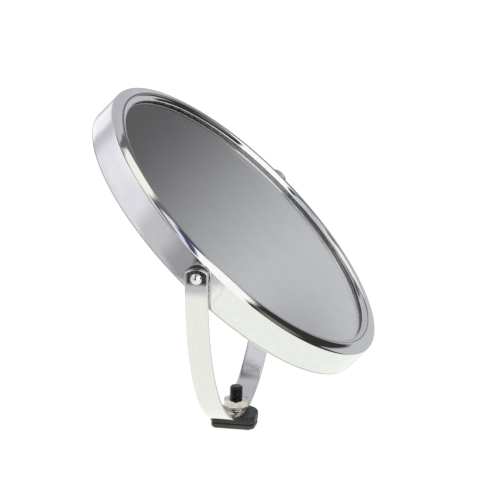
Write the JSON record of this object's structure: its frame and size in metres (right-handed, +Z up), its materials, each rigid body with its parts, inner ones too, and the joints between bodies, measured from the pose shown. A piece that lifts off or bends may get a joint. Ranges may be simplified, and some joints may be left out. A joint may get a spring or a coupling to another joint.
{
  "type": "shaving mirror",
  "caption": "Round two-sided tilting mirror in a deep bright rim, carried by a U-shaped strap yoke that is clamped to a small black foot by a bolt and nut.",
  "frame": {"origin": "on the clamp bolt's axis, in the plane of the foot's underside", "axes": "+Z up along the clamp bolt, Y along the tilt axis, +X the side that the front glass faces; the glass is tilted 43.2 degrees from level at rest"},
  "size_m": [0.1256, 0.1736, 0.1512],
  "materials": {
    "chrome_rim": "bright",
    "chrome_screw": "bright",
    "mirror_glass": "silvered",
    "yoke_metal": "fine brushed, plated",
    "washer_steel": "bright zinc",
    "zinc_yellow": "pale yellow zinc",
    "black_steel": "black oxide, satin",
    "foot_black": "satin black",
    "foot_plate": "dark grey-brown",
    "gasket": "matte black",
    "spacer": "moulded",
    "board": "pressed hardboard"
  },
  "bodies": {
    "foot": {"foot_block": "foot_black", "foot_plate": "foot_plate", "clamp_bolt": "black_steel", "clamp_washer": "black_steel", "clamp_nut": "zinc_yellow"},
    "yoke": {"yoke_strap": "yoke_metal"},
    "mirror_head": {"front_rim": "chrome_rim", "rear_bezel": "chrome_rim", "front_glass": "mirror_glass", "rear_glass": "mirror_glass", "front_gasket": "gasket", "rear_gasket": "gasket", "spacer_ring": "spacer", "backing_board": "board", "left_pivot_screw": "chrome_screw", "left_pivot_saddle": "chrome_screw", "left_friction_washer": "washer_steel", "left_pivot_nut": "washer_steel", "right_pivot_screw": "chrome_screw", "right_pivot_saddle": "chrome_screw", "right_friction_washer": "washer_steel", "right_pivot_nut": "washer_steel"}
  },
  "joints": [
    {"name": "yoke_swivel", "type": "hinge", "parent": "foot", "child": "yoke", "pos_m": [0, 0, 0.0062], "axis": [0, 0, 1], "continuous": true},
    {"name": "mirror_tilt", "type": "hinge", "parent": "yoke", "child": "mirror_head", "pos_m": [0, 0, 0.09259], "axis": [0, 1, 0], "range_deg": [-121, 35]}
  ]
}
